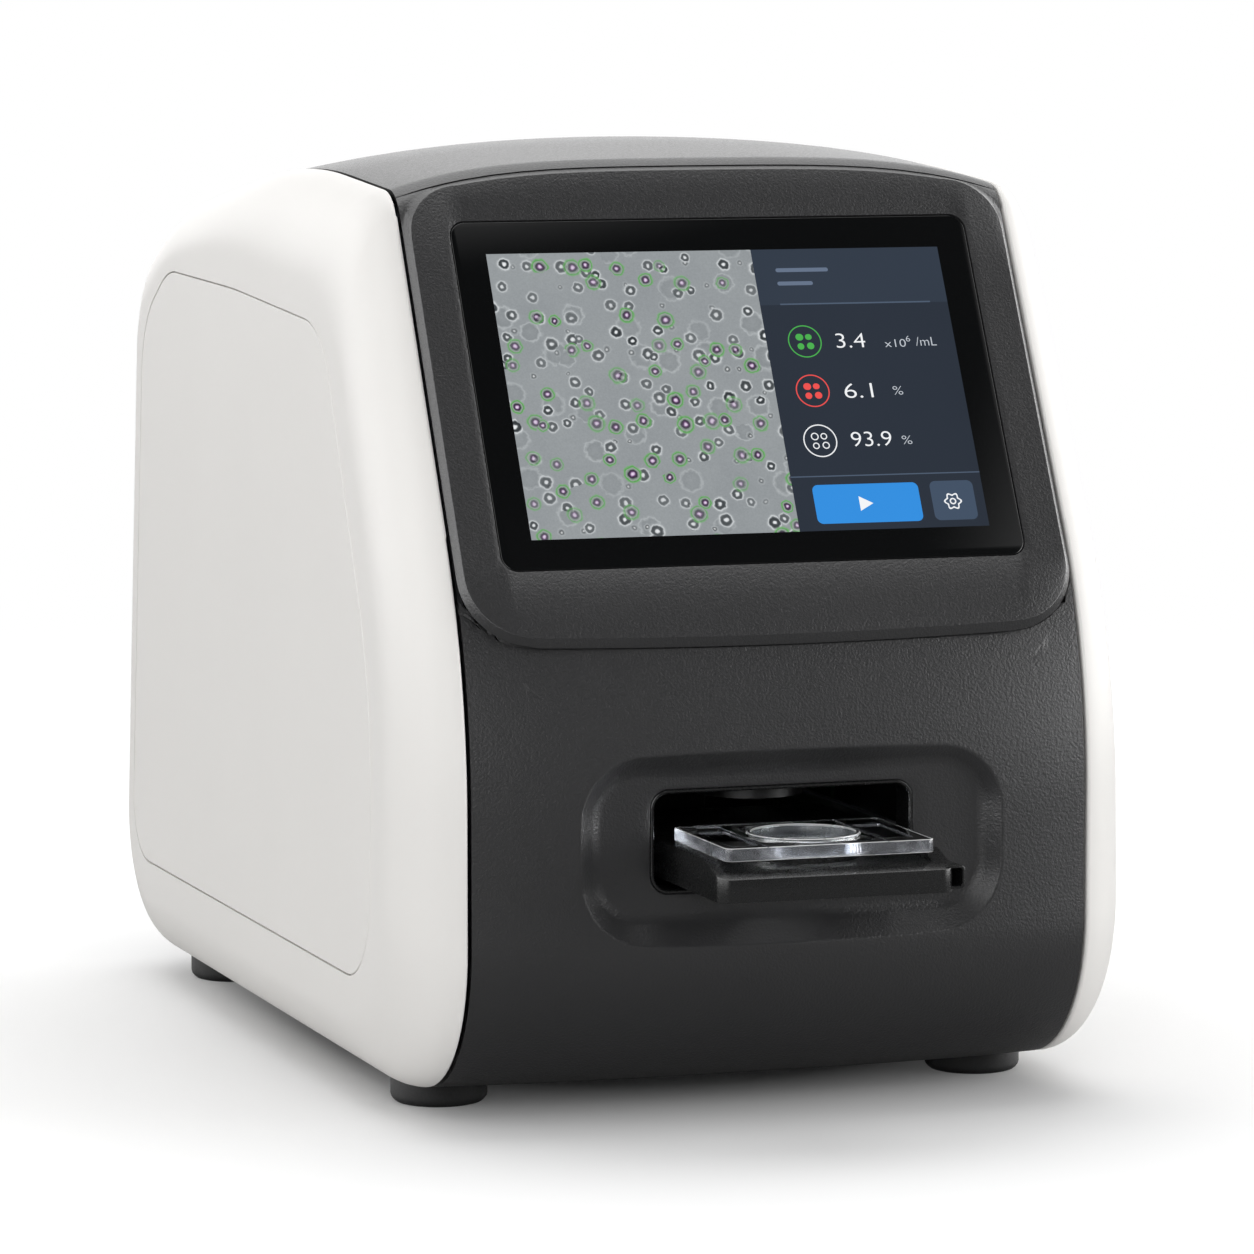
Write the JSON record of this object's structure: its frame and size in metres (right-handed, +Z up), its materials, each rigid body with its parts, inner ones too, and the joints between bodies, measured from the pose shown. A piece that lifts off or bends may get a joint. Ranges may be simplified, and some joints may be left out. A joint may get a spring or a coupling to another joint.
{
  "type": "automated cell counter",
  "caption": "Bench cell counter: white side covers, dark crowned centre, leaning touch display, and a motor-driven tray that holds a clear chamber slide.",
  "frame": {"origin": "centre of the bounding box in plan with the tray out, on the surface the feet stand on", "axes": "+Z up, front with display and tray faces -Y, +X to the right seen from the front"},
  "size_m": [0.273, 0.4663, 0.3383],
  "materials": {
    "white_cover": "satin warm white moulding",
    "dark_cover": "fine spark-eroded charcoal moulding",
    "black_moulding": "satin black moulding",
    "cover_glass": "black printed cover glass",
    "screen": "lit display panel",
    "clear_slide": "clear moulded acrylic",
    "foot_rubber": "black rubber",
    "sheet_steel": "zinc-plated sheet steel",
    "bright_steel": "ground steel",
    "cast_metal": "machined aluminium",
    "gear_plastic": "natural acetal",
    "circuit_board": "green solder mask"
  },
  "bodies": {
    "housing": {"base_plate": "sheet_steel", "left_frame": "sheet_steel", "right_frame": "sheet_steel", "hood_cover": "dark_cover", "lower_fascia": "dark_cover", "rear_cover": "dark_cover", "left_cover": "white_cover", "right_cover": "white_cover", "left_access_panel": "white_cover", "right_access_panel": "white_cover", "connector_panel": "sheet_steel", "foot_front_left": "foot_rubber", "foot_front_right": "foot_rubber", "foot_rear_left": "foot_rubber", "foot_rear_right": "foot_rubber", "foot_screws": "bright_steel", "touch_glass": "cover_glass", "glass_gasket": "foot_rubber", "lcd_module": "sheet_steel", "lcd_screen": "screen", "display_bracket": "sheet_steel", "slot_liner": "black_moulding", "tray_motor": "cast_metal", "tray_sensor": "black_moulding", "stage_bracket": "sheet_steel", "left_rail": "bright_steel", "right_rail": "bright_steel", "focus_posts": "bright_steel", "focus_actuator": "cast_metal", "optics_column": "cast_metal", "led_housing": "black_moulding", "condenser_lens": "clear_slide", "main_board": "circuit_board", "power_board": "circuit_board", "board_standoffs": "bright_steel", "heat_sink": "cast_metal", "fan_frame": "black_moulding", "dc_jack": "black_moulding", "usb_ports": "bright_steel", "switch_housing": "black_moulding", "panel_screws": "bright_steel"},
    "tray": {"slide_tray": "black_moulding", "sample_slide": "clear_slide", "tray_rack": "gear_plastic"},
    "pinion": {"drive_pinion": "gear_plastic", "motor_shaft": "bright_steel"},
    "focus": {"focus_carriage": "cast_metal", "camera_body": "black_moulding", "objective_lens": "black_moulding", "actuator_rod": "bright_steel"},
    "fan": {"fan_rotor": "black_moulding"},
    "rocker": {"power_rocker": "black_moulding"}
  },
  "joints": [
    {"name": "tray_slide", "type": "slide", "parent": "housing", "child": "tray", "axis": [0, 1, 0], "range_m": [0, 0.056]},
    {"name": "pinion_spin", "type": "hinge", "parent": "housing", "child": "pinion", "pos_m": [0.031, -0.104, 0.07485], "axis": [-1, 0, 0], "range_deg": [0, 357]},
    {"name": "focus_slide", "type": "slide", "parent": "housing", "child": "focus", "axis": [0, 0, 1], "range_m": [-0.0015, 0.0015]},
    {"name": "fan_spin", "type": "hinge", "parent": "housing", "child": "fan", "pos_m": [0, 0.21, 0.13], "axis": [0, 1, 0], "continuous": true},
    {"name": "power_rock", "type": "hinge", "parent": "housing", "child": "rocker", "pos_m": [0.062, 0.2195, 0.068], "axis": [-1, 0, 0], "range_deg": [0, 14]}
  ],
  "couplings": [
    {"joint": "pinion_spin", "follows": "tray_slide", "rad_per_m": 111.11}
  ]
}
